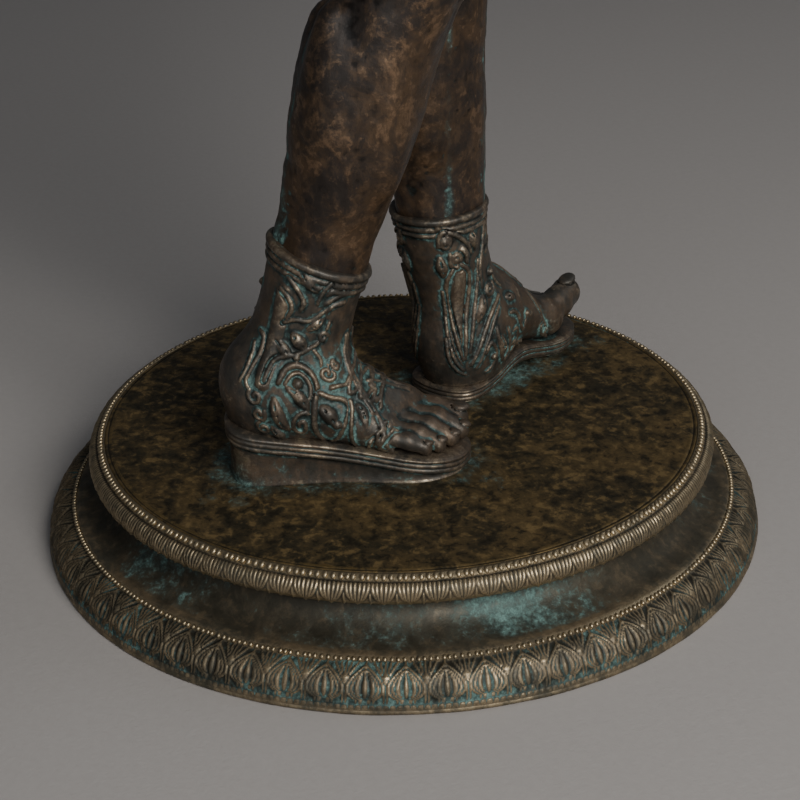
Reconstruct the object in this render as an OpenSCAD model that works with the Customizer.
// Bronze statuette of a standing youth in a short belted tunic and open-toed boots, on a round stepped base.
// The figure faces -Y. Its own left side is +X. The origin is at the middle of the base, on the floor.

/* [Base] */
// Radius of the base where it meets the floor
foot_r = 115; // [112:0.5:120]
// Radius at the top of the broad ornamental band
band_r = 107; // [105:0.5:108]
// Radius of the narrow waist between the two mouldings
waist_r = 91.5; // [88:0.5:92]
// Largest radius of the top plate
plate_r = 99.7; // [98:0.1:103]
// Height of the top of the base above the floor
deck_z = 34; // [34:0.5:36]
// Thickness of the base castings
shell = 4.5; // [3:0.5:5]

/* [Soles] */
// Height of the right wedge sole at the heel
wedge_heel = 18; // [16:0.5:19]
// Height of the right wedge sole at the toes
wedge_toe = 5.5; // [5:0.5:6.5]
// Height of the thin left sole
thin_sole = 5; // [4:0.5:5.5]
// Length of each foot from the heel to the tip of the big toe
foot_len = 73; // [71:1:75]
// How far the right foot turns out, in degrees
right_turn = 18; // [14:1:22]
// How far the left foot turns out, in degrees
left_turn = 31; // [28:0.5:33]

/* [Castings] */
// Wall of the hollow castings of the body
wall = 4; // [3:0.5:5]
// Radius of the tenons at the ankles
ankle_tenon_r = 7; // [5:0.5:7.5]
// Depth of the tenons at the ankles
ankle_tenon = 16; // [12:1:17]
// Radius of the tenons at the hips
hip_tenon_r = 9; // [7:0.5:10]
// Depth of the tenons at the hips
hip_tenon = 16; // [12:1:18]
// Height of the joint between the skirt and the torso
girdle_z = 345; // [344:0.5:346]
// Height of the belt
belt_h = 9; // [7:0.5:11]
// Height of the joint between the torso and the head
collar_z = 478; // [477:0.5:479]

/* [Fasteners] */
// Radius of the threaded studs that hold the feet to the base
stud_r = 3; // [2.5:0.5:3.5]
// Width across the flats of the nuts on the studs
nut_flats = 10; // [9:1:11]
// Thickness of the nuts
nut_h = 5; // [4:0.5:6]
// Radius of the screws that hold the top plate to the ring
screw_r = 2.5; // [2:0.5:3]
// Radius of the smooth cross pins
pin_r = 1.5; // [1:0.25:1.75]

/* [Hidden] */

$fn = 96;

// Heights of the base
seat_z = deck_z - 8.6;      // where the top plate rests on the ring
under_z = deck_z - 5;       // underside of the top plate
land_r = waist_r - 3 - shell; // inside of the top plate's rim
flange_r = 72;              // inner edge of the ring's flange
screw_pitch_r = 78;         // the screws stand on this radius

// Feet: where the middle of each heel stands
right_heel = [-12, 60];
left_heel = [7.3, -14.5];
right_stud = [-15.6, 40.5];
left_stud = [18, -26];

// Ends of the boots, where the legs start: a point and the direction of the leg there
right_cuff = [-18.5, 30.9, 103.6];
right_cuff_axis = [-0.13, -0.36, 0.92];
left_cuff = [16, -20.4, 98];
left_cuff_axis = [0, 0.02, 1];

// Joints of the arms
right_shoulder = [-56, 0, 443];
right_elbow = [-77, 8, 351];
right_wrist = [-86, -38, 290];
left_shoulder = [52, 0, 440];
left_elbow = [97, 37, 366];
left_wrist = [54, -4, 324];

// Heights of the hidden fasteners under the feet
stud_top = 82;
stud_bottom = 19;
washer_h = 1;
pin_len = 20;

// Waist: the middle of the joint, the sleeve inside it and the half axes of the body there
waist = [0, -4, girdle_z];
waist_half = 35;
waist_depth = 26.5;
sleeve_r = 19;
sleeve_h = 24;

// Shoulders: where each arm starts along its upper arm, its radius there and its dowel
arm_start = 16;
arm_r = 13.2;
arm_dowel = 18;
arm_dowel_r = 6;

// Neck joint
neck = [-3, 2];
dowel_r = 7;
dowel = 22;

// Sections of the limbs and clothes: [x, y, z, half width, half depth]
hip_z = 285;
right_leg_keys = [[-18.5, 30.9, 103.6, 11.2, 12.6], [-19.6, 27.4, 115, 12.4, 14.2], [-21.2, 22.6, 131, 15.6, 18.2],
    [-22.5, 19.4, 144, 16.9, 19], [-24, 15.2, 158, 16.3, 18.2], [-25.8, 10.6, 172, 15.2, 16.8],
    [-27, 6.5, 184, 15.6, 17], [-27.5, 4.2, 196, 16.4, 17.6], [-27, 3.6, 215, 18.4, 20],
    [-25.6, 4, 240, 20.8, 23.2], [-24, 4.5, 264, 21.6, 25], [-22.5, 5, hip_z, 21, 25]];
left_leg_keys = [[16, -20.4, 98, 11.2, 12.6], [16.6, -19.8, 113, 12.6, 14.6], [17.3, -19, 129, 16, 18.2],
    [17.6, -19, 143, 16.9, 19], [17.2, -20.4, 158, 16.2, 18], [16.8, -22.4, 172, 15.2, 16.8],
    [16.6, -23.8, 184, 15.7, 17.2], [16.8, -23.8, 196, 16.5, 17.6], [17.8, -21.6, 215, 18.6, 20.2],
    [19.4, -17.6, 240, 21, 23.4], [21, -13.6, 264, 21.8, 25], [21.8, -11, hip_z, 21, 25]];
skirt_keys = [[-3, -6, 228, 57, 47], [-2, -5.5, 255, 54, 44], [-1, -5, 285, 50, 40.5], [0, -4.5, 308, 46.5, 36.5],
    [0, -4, 328, 40, 31], [0, -4, 339, 36, 27.5], [0, -4, girdle_z, 35, 26.5]];
torso_keys = [[0, -4, girdle_z, 35, 26.5], [0, -4, 351, 36, 27.5], [-0.5, -4, 368, 40, 29], [-1, -4.5, 390, 44, 31],
    [-1.5, -4, 412, 47.5, 33], [-1.5, -3, 432, 49, 31.5], [-2, -1.5, 448, 47, 27.5], [-2.3, 0.5, 459, 40, 22.5],
    [-2.6, 2, 468, 28, 18.5], [-2.8, 2.2, 474, 20.5, 17], [-3, 2, collar_z, 17, 16.5]];
head_keys = [[-3, 2, collar_z, 16.4, 16], [-3.2, 0.2, 487, 15.6, 16.4], [-3.6, -3.5, 494, 18, 21.5],
    [-3.9, -6, 502, 21.5, 26.5], [-4, -6, 512, 24.5, 30.5], [-4, -4.8, 526, 27, 33], [-4, -3, 540, 26.5, 32],
    [-4, -2, 551, 21.5, 26.5], [-4, -2, 557.5, 13.5, 17], [-4, -2, 560.5, 5, 6]];

// Round brooches on the seams of the sleeves: place and tilt
brooches = [[[-44, -8, 462.5], [28, -32, 0]], [[39, -8, 462], [28, 34, 0]]];

bronze = [0.30, 0.22, 0.13];
dark_bronze = [0.22, 0.17, 0.11];
boot_bronze = [0.20, 0.24, 0.20];
steel = [0.6, 0.6, 0.62];

// ---- vectors and curves -------------------------------------------------

function unit(v) = v / norm(v);

// A point at t between keys i and i + 1, on the smooth curve through them all
function between(k, i, t) = let (a = k[max(i - 1, 0)], b = k[i], c = k[i + 1], d = k[min(i + 2, len(k) - 1)])
    0.5 * (2 * b + (c - a) * t + (2 * a - 5 * b + 4 * c - d) * t * t + (3 * b - a - 3 * c + d) * t * t * t);

function smooth(k, steps) = concat(
    [for (i = [0 : len(k) - 2]) for (s = [0 : steps - 1]) between(k, i, s / steps)], [k[len(k) - 1]]);

function spot(r) = [r[0], r[1], r[2]];

// A solid through oval sections. Each key is [x, y, z, half width, half depth]. The width lies along side,
// the first and last sections can be given their own direction, and low cuts the ovals off flat underneath.
module limb(keys, side, steps = 3, sides = 20, first = undef, last = undef, level = false, low = -1)
{
    rows = smooth(keys, steps);
    n = len(rows);
    points = [for (i = [0 : n - 1])
        let (run = unit(spot(rows[min(i + 1, n - 1)]) - spot(rows[max(i - 1, 0)])),
            axis = level ? [0, 0, 1] : (i == 0 && !is_undef(first)) ? unit(first)
                : (i == n - 1 && !is_undef(last)) ? unit(last) : run,
            u = unit(side - (side * axis) * axis),
            v = cross(axis, u))
        for (s = [0 : sides - 1])
        let (a = 360 * s / sides)
        spot(rows[i]) + rows[i][3] * cos(a) * u + rows[i][4] * max(sin(a), low) * v];
    skin = [for (i = [0 : n - 2]) for (s = [0 : sides - 1])
        let (a = i * sides + s, b = i * sides + (s + 1) % sides)
        each [[a, a + sides, b], [b, a + sides, b + sides]]];
    ends = [[for (s = [0 : sides - 1]) s], [for (s = [sides - 1 : -1 : 0]) (n - 1) * sides + s]];
    polyhedron(points, concat(ends, skin));
}

// A straight round rod from one point to another
module rod(from, to, r)
{
    run = to - from;
    translate(from)
        rotate([0, acos(run[2] / norm(run)), atan2(run[1], run[0])])
            cylinder(h = norm(run), r = r);
}

// The direction across a foot or leg that is turned out by angle a
function across(a) = [cos(a), sin(a), 0];

// ---- the base -----------------------------------------------------------

// Points of an arc from angle a to angle b
function arc(c, rx, ry, a, b, n) = [for (i = [0 : n]) let (t = a + (b - a) * i / n)
    [c[0] + rx * cos(t), c[1] + ry * sin(t)]];

module base_ring()
{
    band_top = deck_z - 21.8;
    scotia_top = seat_z - 2.6;
    outside = concat(
        [[foot_r, 0], [foot_r, 1.2], [foot_r - 0.5, 3.4]],
        arc([band_r - 1, 3.4], foot_r - band_r + 0.2, band_top - 3.4, 12, 78, 6),
        [[band_r - 0.3, band_top], [band_r - 0.9, band_top + 1.2], [band_r - 2, band_top + 1.4]],
        arc([band_r - 1.8, scotia_top - 0.6], band_r - 1.8 - waist_r, scotia_top - band_top - 2.6, 262, 184, 8),
        [[waist_r, scotia_top], [plate_r - 4.9, scotia_top + 0.3], [plate_r - 4.7, scotia_top + 1.4],
            [plate_r - 5, seat_z]]);
    inside = [[flange_r, seat_z], [flange_r, seat_z - 4], [waist_r - shell, seat_z - 4],
        [waist_r - shell, band_top + 2], [band_r - shell - 2, band_top - 2.6], [foot_r - shell - 1, 3.4],
        [foot_r - shell - 1, 0]];
    color(bronze)
        difference() {
            rotate_extrude($fn = 180) polygon(concat(outside, inside));
            at_screws() translate([0, 0, seat_z - 4 - 1]) cylinder(h = 6, r = screw_r + 0.25, $fn = 32);
        }
}

module at_screws()
{
    for (i = [0 : 3])
        rotate([0, 0, 45 + 90 * i]) translate([screw_pitch_r, 0, 0]) children();
}

module base_plate()
{
    edge = concat([[land_r, seat_z], [plate_r - 2.4, seat_z]],
        arc([plate_r - 3.4, seat_z + 3.6], 3.4, 3.6, -40, 55, 5),
        [[plate_r - 2, deck_z - 1], [plate_r - 2.3, deck_z - 0.3], [plate_r - 4.2, deck_z],
            [0, deck_z], [0, under_z], [land_r, under_z]]);
    color(bronze)
        difference() {
            union() {
                rotate_extrude($fn = 180) polygon(edge);
                at_screws() translate([0, 0, seat_z]) cylinder(h = under_z - seat_z + 1, r = 5.5, $fn = 48);
            }
            at_screws() translate([0, 0, seat_z - 1]) cylinder(h = 7, r = screw_r, $fn = 32);
            for (p = [right_stud, left_stud])
                translate([p[0], p[1], under_z - 1]) cylinder(h = deck_z - under_z + 2, r = stud_r + 0.3, $fn = 32);
        }
}

module base_screws()
{
    head_h = 3;
    color(steel)
        at_screws() {
            translate([0, 0, seat_z - 4]) cylinder(h = 9, r = screw_r, $fn = 32);
            translate([0, 0, seat_z - 4 - head_h])
                difference() {
                    cylinder(h = head_h, r = screw_r * 1.8, $fn = 32);
                    translate([0, 0, -1]) cylinder(h = 2.5, r = screw_r, $fn = 6);
                }
        }
}

// ---- soles --------------------------------------------------------------

// Half widths of a sole at places along it: [distance from the heel, half width]
function sole_edge(len) = smooth([[-1, 0], [-0.2, 6], [2.5, 10.6], [9, 13], [20, 12.8], [33, 12.6],
    [0.62 * len, 14.2], [0.74 * len, 15.6], [0.86 * len, 14.2], [0.94 * len, 10.6], [0.99 * len, 5],
    [1.01 * len, 0]], 4);

module sole_outline(len)
{
    edge = sole_edge(len);
    n = len(edge);
    polygon(concat([for (p = edge) [p[1], -p[0]]], [for (i = [n - 2 : -1 : 1]) [-edge[i][1], -edge[i][0]]]));
}

module at_right_foot()
{
    translate([right_heel[0], right_heel[1], 0]) rotate([0, 0, -right_turn]) children();
}

module at_left_foot()
{
    translate([left_heel[0], left_heel[1], 0]) rotate([0, 0, left_turn]) children();
}

// Everything above the sloping top of the right sole, in the foot's own frame
module above_wedge(grow = 0)
{
    slope = atan2(wedge_heel - wedge_toe, foot_len);
    translate([0, 0, deck_z + wedge_heel - grow])
        rotate([slope, 0, 0]) translate([-60, -120, 0]) cube([120, 150, 120]);
}

module right_sole()
{
    color(boot_bronze)
        difference() {
            at_right_foot()
                difference() {
                    translate([0, 0, deck_z]) linear_extrude(wedge_heel + 4) sole_outline(foot_len);
                    above_wedge();
                }
            translate([right_stud[0], right_stud[1], 0]) cylinder(h = 80, r = stud_r, $fn = 32);
        }
}

module left_sole()
{
    color(boot_bronze)
        difference() {
            at_left_foot() translate([0, 0, deck_z]) linear_extrude(thin_sole) sole_outline(foot_len - 1);
            translate([left_stud[0], left_stud[1], 0]) cylinder(h = 80, r = stud_r, $fn = 32);
        }
}

// ---- boots --------------------------------------------------------------

// The foot lies along -Y from its heel, and rest is the height of what it stands on at each place.
// Each key is [distance from the heel, half width, height of the instep or toes above the sole].
module foot(profile, heel_rest, toe_rest)
{
    flat = 0.5;
    limb([for (p = profile)
            let (rest = heel_rest + (toe_rest - heel_rest) * p[0] / foot_len, half = p[2] / (1 + flat))
            [0, -p[0], rest + flat * half, p[1], half]],
        [-1, 0, 0], sides = 24, low = -flat, first = [0, -1, 0], last = [0, -1, 0]);
}

foot_profile = [[0.5, 6, 12], [2.7, 9.5, 19], [8.2, 11.8, 25], [18, 12.4, 27], [29, 12.4, 27], [37.4, 12.6, 24.5],
    [46.5, 13.4, 18.5], [55.7, 15, 12.5], [63.9, 15.2, 9.5], [69.4, 12.5, 8], [73, 8, 6]];

module right_boot()
{
    ankle = [[-14.2, 43, 55, 11.6, 15.2], [-15, 40, 70, 12, 15.8], [-16.4, 36.2, 83, 12.4, 15],
        [-17.7, 33.3, 94, 13, 15.2], [-18.4, 31.4, 101, 14.4, 16], [-18.5, 30.9, 103.6, 14.2, 15.8]];
    color(boot_bronze)
        difference() {
            union() {
                at_right_foot() foot(foot_profile, deck_z + wedge_heel, deck_z + wedge_toe);
                limb(ankle, across(-right_turn), first = [0, 0, 1], last = right_cuff_axis);
            }
            ankle_socket(right_cuff, right_cuff_axis, right_stud);
            ankle_pin(right_cuff, right_cuff_axis, -right_turn);
        }
}

module left_boot()
{
    ankle = [[15.6, -29.4, 45, 11.2, 14.6], [16.4, -27.4, 60, 11.9, 14.6], [16.7, -24.2, 75, 12.1, 14.7],
        [16.3, -21.3, 88, 12.8, 15], [16, -20.5, 95, 14.2, 15.8], [16, -20.4, 98, 14, 15.6]];
    color(boot_bronze)
        difference() {
            union() {
                at_left_foot() foot(foot_profile, deck_z + thin_sole, deck_z + thin_sole);
                limb(ankle, across(left_turn), first = [0, 0, 1], last = left_cuff_axis);
            }
            ankle_socket(left_cuff, left_cuff_axis, left_stud);
            ankle_pin(left_cuff, left_cuff_axis, left_turn);
        }
}

// The bore that takes the tenon of the leg, and below it the one that takes the stud
module ankle_socket(top, axis, stud)
{
    rod(top - ankle_tenon * unit(axis), top + 6 * unit(axis), ankle_tenon_r);
    translate([stud[0], stud[1], deck_z]) cylinder(h = stud_top - deck_z, r = stud_r, $fn = 32);
}

module ankle_pin(top, axis, turn)
{
    middle = top - ankle_tenon / 2 * unit(axis);
    rod(middle - pin_len / 2 * across(turn), middle + pin_len / 2 * across(turn), pin_r, $fn = 24);
}

module ankle_pins()
{
    color(steel) {
        ankle_pin(right_cuff, right_cuff_axis, -right_turn);
        ankle_pin(left_cuff, left_cuff_axis, left_turn);
    }
}

// ---- what holds the feet to the base ------------------------------------

module foot_studs()
{
    color(steel)
        for (p = [right_stud, left_stud])
            translate([p[0], p[1], stud_bottom]) cylinder(h = stud_top - stud_bottom, r = stud_r, $fn = 32);
}

module stud_washers()
{
    color(steel)
        for (p = [right_stud, left_stud])
            translate([p[0], p[1], under_z - washer_h])
                difference() {
                    cylinder(h = washer_h, r = stud_r * 2.1, $fn = 48);
                    translate([0, 0, -1]) cylinder(h = washer_h + 2, r = stud_r + 0.2, $fn = 32);
                }
}

module stud_nuts()
{
    color(steel)
        for (p = [right_stud, left_stud])
            translate([p[0], p[1], under_z - washer_h - nut_h])
                difference() {
                    cylinder(h = nut_h, r = nut_flats / 2 / cos(30), $fn = 6);
                    translate([0, 0, -1]) cylinder(h = nut_h + 2, r = stud_r, $fn = 32);
                }
}

// ---- legs ---------------------------------------------------------------

// The same sections with the wall taken off all round, for the hollow inside
function hollowed(keys, t) = [for (k = keys) [k[0], k[1], k[2], k[3] - t, k[4] - t]];

// The keys from one index to another
function part_of(keys, from, to) = [for (i = [from : to]) keys[i]];

module leg(keys, cuff, axis, turn)
{
    hip = spot(keys[len(keys) - 1]);
    color(dark_bronze)
        difference() {
            union() {
                limb(keys, across(turn), first = axis, last = [0, 0, 1]);
                rod(cuff - ankle_tenon * unit(axis), cuff + 3 * unit(axis), ankle_tenon_r);
                translate(hip - [0, 0, 3]) cylinder(h = hip_tenon + 3, r = hip_tenon_r, $fn = 48);
            }
            limb(hollowed(part_of(keys, 2, len(keys) - 2), wall), across(turn), steps = 2, sides = 14);
            ankle_pin(cuff, axis, turn);
            hip_pin(hip);
        }
}

// A pin from front to back through the tenon at the hip
module hip_pin(hip)
{
    rod(hip + [0, -pin_len / 2, hip_tenon / 2], hip + [0, pin_len / 2, hip_tenon / 2], pin_r, $fn = 24);
}

module right_leg() { leg(right_leg_keys, right_cuff, right_cuff_axis, -right_turn); }
module left_leg() { leg(left_leg_keys, left_cuff, left_cuff_axis, left_turn * 0.53); }

module hip_pins()
{
    color(steel)
        for (k = [right_leg_keys, left_leg_keys]) hip_pin(spot(k[len(k) - 1]));
}

// ---- tunic and torso ----------------------------------------------------

module tunic_skirt()
{
    color(bronze)
        difference() {
            limb(skirt_keys, [1, 0, 0], sides = 28, level = true);
            limb(concat([[-3, -6, skirt_keys[0][2] - 2, skirt_keys[0][3] - wall, skirt_keys[0][4] - wall]],
                    hollowed([for (k = skirt_keys) if (k[2] > skirt_keys[0][2] && k[2] <= hip_z) k], wall)),
                [1, 0, 0], sides = 28, level = true);
            for (k = [right_leg_keys, left_leg_keys])
                translate([k[len(k) - 1][0], k[len(k) - 1][1], hip_z - 1])
                    cylinder(h = hip_tenon + 1, r = hip_tenon_r, $fn = 48);
            for (k = [right_leg_keys, left_leg_keys]) hip_pin(spot(k[len(k) - 1]));
            translate([waist[0], waist[1], girdle_z - sleeve_h / 2]) cylinder(h = sleeve_h, r = sleeve_r);
            belt_seat();
        }
}

// The bodice and its two sleeves run into each other as one skin. The hollow inside opens at the waist,
// where the tube that lines up the two castings goes in.
module bodice()
{
    resize([0, 0, 0])
        difference() {
            union() {
                limb(torso_keys, [1, 0, 0], sides = 24, level = true);
                sleeve(right_shoulder, right_elbow, -1);
                sleeve(left_shoulder, left_elbow, 1);
            }
            limb(hollowed(part_of(torso_keys, 1, 6), wall + 2), [1, 0, 0], steps = 2, sides = 16, level = true);
            translate([waist[0], waist[1], girdle_z - 1]) cylinder(h = sleeve_h / 2 + 1, r = sleeve_r);
        }
}

module torso()
{
    color(bronze)
        difference() {
            bodice();
            arm_socket(right_shoulder, right_elbow);
            arm_socket(left_shoulder, left_elbow);
            shoulder_pin(right_shoulder);
            shoulder_pin(left_shoulder);
            waist_pin();
            translate([neck[0], neck[1], collar_z - dowel / 2]) cylinder(h = dowel, r = dowel_r, $fn = 48);
            belt_seat();
        }
}

// The short sleeve of the tunic, from inside the shoulder down over the top of the arm
module sleeve(shoulder, elbow, s)
{
    run = elbow - shoulder;
    root = shoulder + [-18 * s, 0, 2];
    limb([concat(root, [20, 19]), concat(shoulder + [-3 * s, 0, 0], [20, 18]),
            concat(shoulder + 0.2 * run, [18.5, 18.5]), concat(shoulder + 0.42 * run, [19, 20])],
        [0, 1, 0], sides = 20, last = run);
}

// The flat seat of the arm, inside the mouth of the sleeve, and the bore for its dowel
module arm_socket(shoulder, elbow)
{
    run = unit(elbow - shoulder);
    seat = shoulder + arm_start * run;
    rod(seat, seat + 60 * run, arm_r);
    rod(seat - arm_dowel * run, seat + run, arm_dowel_r);
}

module shoulder_pin(shoulder)
{
    rod(shoulder + [0, -14, 3], shoulder + [0, 14, 3], pin_r, $fn = 24);
}

module shoulder_pins()
{
    color(steel) {
        shoulder_pin(right_shoulder);
        shoulder_pin(left_shoulder);
    }
}

// The tube inside the waist that lines up the two castings
module waist_sleeve()
{
    color(bronze)
        difference() {
            translate([waist[0], waist[1], girdle_z - sleeve_h / 2])
                difference() {
                    cylinder(h = sleeve_h, r = sleeve_r);
                    translate([0, 0, -1]) cylinder(h = sleeve_h + 2, r = sleeve_r - wall);
                }
            waist_pin();
        }
}

module waist_pin()
{
    for (s = [-1, 1])
        rod([waist[0] + s * (sleeve_r - wall - 2), waist[1], girdle_z + belt_h / 2 + 2],
            [waist[0] + s * (waist_half - 0.5), waist[1], girdle_z + belt_h / 2 + 2], pin_r, $fn = 24);
}

module waist_pins()
{
    color(steel) waist_pin();
}

function oval(a, b, n = 72) = [for (i = [0 : n - 1]) [a * cos(360 * i / n), b * sin(360 * i / n)]];

// The groove that the belt lies in
module belt_seat()
{
    translate([waist[0], waist[1], girdle_z - belt_h / 2])
        linear_extrude(belt_h)
            difference() {
                square(200, center = true);
                polygon(oval(waist_half - 1, waist_depth - 1));
            }
}

module belt()
{
    color(dark_bronze)
        translate([waist[0], waist[1], girdle_z - belt_h / 2])
            linear_extrude(belt_h)
                difference() {
                    polygon(oval(waist_half + 1.8, waist_depth + 1.8));
                    polygon(oval(waist_half - 1, waist_depth - 1));
                }
}

// ---- arms ---------------------------------------------------------------

// Upper arm, forearm, palm and fingers in one casting, and the dowel that goes into the shoulder
module arm(shoulder, elbow, wrist, knuckles, tips, palm)
{
    run = unit(elbow - shoulder);
    top = shoulder + arm_start * run;
    color(dark_bronze)
        difference() {
            union() {
                limb([concat(top, [arm_r, arm_r]), concat(shoulder + 0.45 * (elbow - shoulder), [13, 13.4]),
                        concat(shoulder + 0.62 * (elbow - shoulder), [12.6, 13.2]),
                        concat(shoulder + 0.82 * (elbow - shoulder), [10.6, 11]),
                        concat(elbow, [10.2, 10.8]), concat(elbow + 0.2 * (wrist - elbow), [11.2, 11.6]),
                        concat(elbow + 0.45 * (wrist - elbow), [10.2, 10.6]),
                        concat(elbow + 0.8 * (wrist - elbow), [7.6, 8]), concat(wrist, [6.6, 7.4]),
                        concat((wrist + knuckles) / 2, [5.4, 10.6]), concat(knuckles, [5, 12.2]),
                        concat((knuckles + tips) / 2, [4.6, 10.4]), concat(tips, [3, 7])],
                    palm, sides = 18, first = run);
                rod(top - arm_dowel * run, top + 2 * run, arm_dowel_r);
            }
            shoulder_pin(shoulder);
        }
}

module right_arm()
{
    arm(right_shoulder, right_elbow, right_wrist, right_wrist + [-2, -19, -20], right_wrist + [-1, -33, -41],
        [1, 0.1, 0]);
}

module left_arm()
{
    arm(left_shoulder, left_elbow, left_wrist, left_wrist + [-10, -21, -8], left_wrist + [-24, -36.5, -14],
        [1, 0.3, 0.3]);
}

module shoulder_brooches()
{
    color(bronze)
        for (b = brooches)
            translate(b[0])
                rotate(b[1])
                    rotate_extrude($fn = 48)
                        polygon([[0, -2], [4.6, -2], [5.2, 0.4], [4.4, 1], [3.8, 0.8], [2.6, 2], [0, 2.4]]);
}

// ---- head ---------------------------------------------------------------

module head()
{
    color(dark_bronze)
        difference() {
            limb(head_keys, [1, 0, 0], sides = 28, level = true);
            translate([neck[0], neck[1], collar_z - 1]) cylinder(h = dowel / 2 + 1, r = dowel_r, $fn = 48);
            translate([-4, -5, 526]) sphere(r = 19, $fn = 48);
        }
}

module neck_dowel()
{
    color(bronze)
        translate([neck[0], neck[1], collar_z - dowel / 2]) cylinder(h = dowel, r = dowel_r, $fn = 48);
}

base_ring();
base_plate();
base_screws();
right_sole();
left_sole();
right_boot();
left_boot();
foot_studs();
stud_washers();
stud_nuts();
right_leg();
left_leg();
ankle_pins();
tunic_skirt();
hip_pins();
waist_sleeve();
torso();
waist_pins();
belt();
right_arm();
left_arm();
shoulder_pins();
shoulder_brooches();
head();
neck_dowel();
